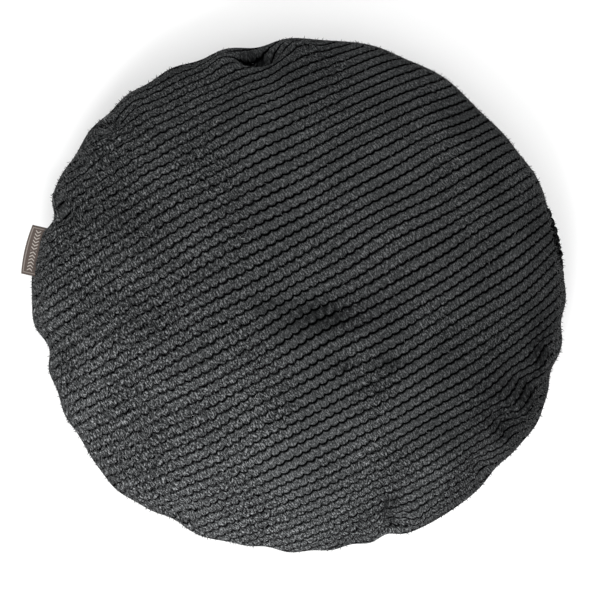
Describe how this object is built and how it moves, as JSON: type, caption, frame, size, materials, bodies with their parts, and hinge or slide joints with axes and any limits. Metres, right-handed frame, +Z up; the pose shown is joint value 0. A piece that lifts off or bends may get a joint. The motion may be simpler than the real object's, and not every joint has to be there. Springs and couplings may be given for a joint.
{
  "type": "floor cushion",
  "caption": "Round floor cushion: a plush cord cover with a zip in its base, a filled inner pad and a folded woven edge label.",
  "frame": {"origin": "on the floor under the middle of the cushion, on the flat underside", "axes": "+Z up through the crown, +Y to the back, where the zip in the base lies, +X to the right, away from the label"},
  "size_m": [0.5134, 0.5, 0.16],
  "materials": {
    "plush_cord": "charcoal plush cord with beaded wales",
    "sewing_thread": "spun polyester thread, dark grey",
    "zip_tape": "woven tape, herringbone",
    "zip_nylon": "nylon coil, satin",
    "zip_metal": "pressed stop, satin",
    "zip_paint": "baked dark enamel, semi-gloss",
    "woven_label": "brown woven label with a pale border",
    "satin_label": "white satin ribbon, unprinted",
    "pad_casing": "off-white nonwoven casing",
    "casing_thread": "white overlock thread",
    "polyester_fill": "lofty polyester fibre"
  },
  "bodies": {
    "root": {"cover_top": "plush_cord", "cover_bottom_front": "plush_cord", "cover_bottom_rear": "plush_cord", "edge_seam_thread": "sewing_thread", "base_seam_threads": "sewing_thread", "zip_tape_front": "zip_tape", "zip_tape_rear": "zip_tape", "zip_stitches_front": "sewing_thread", "zip_stitches_rear": "sewing_thread", "zip_coil_front": "zip_nylon", "zip_coil_rear": "zip_nylon", "zip_top_stops": "zip_metal", "zip_bottom_stop": "zip_metal", "care_label": "satin_label", "inner_casing_top": "pad_casing", "inner_casing_bottom": "pad_casing", "inner_casing_overlock": "casing_thread", "fill_core": "polyester_fill"},
    "slider": {"zip_slider": "zip_paint"},
    "pull": {"zip_pull": "zip_paint"},
    "label": {"side_label": "woven_label"}
  },
  "joints": [
    {"name": "zip_slide", "type": "slide", "parent": "root", "child": "slider", "axis": [-1, 0, 0], "range_m": [0, 0.264]},
    {"name": "pull_swing", "type": "hinge", "parent": "slider", "child": "pull", "pos_m": [0.13215, 0.064, 0.00175], "axis": [0, -1, 0], "range_deg": [0, 160]},
    {"name": "label_flap", "type": "hinge", "parent": "root", "child": "label", "pos_m": [-0.24692, 0.03911, 0.07], "axis": [-0.1564, -0.9877, 0], "range_deg": [-30, 30]}
  ]
}
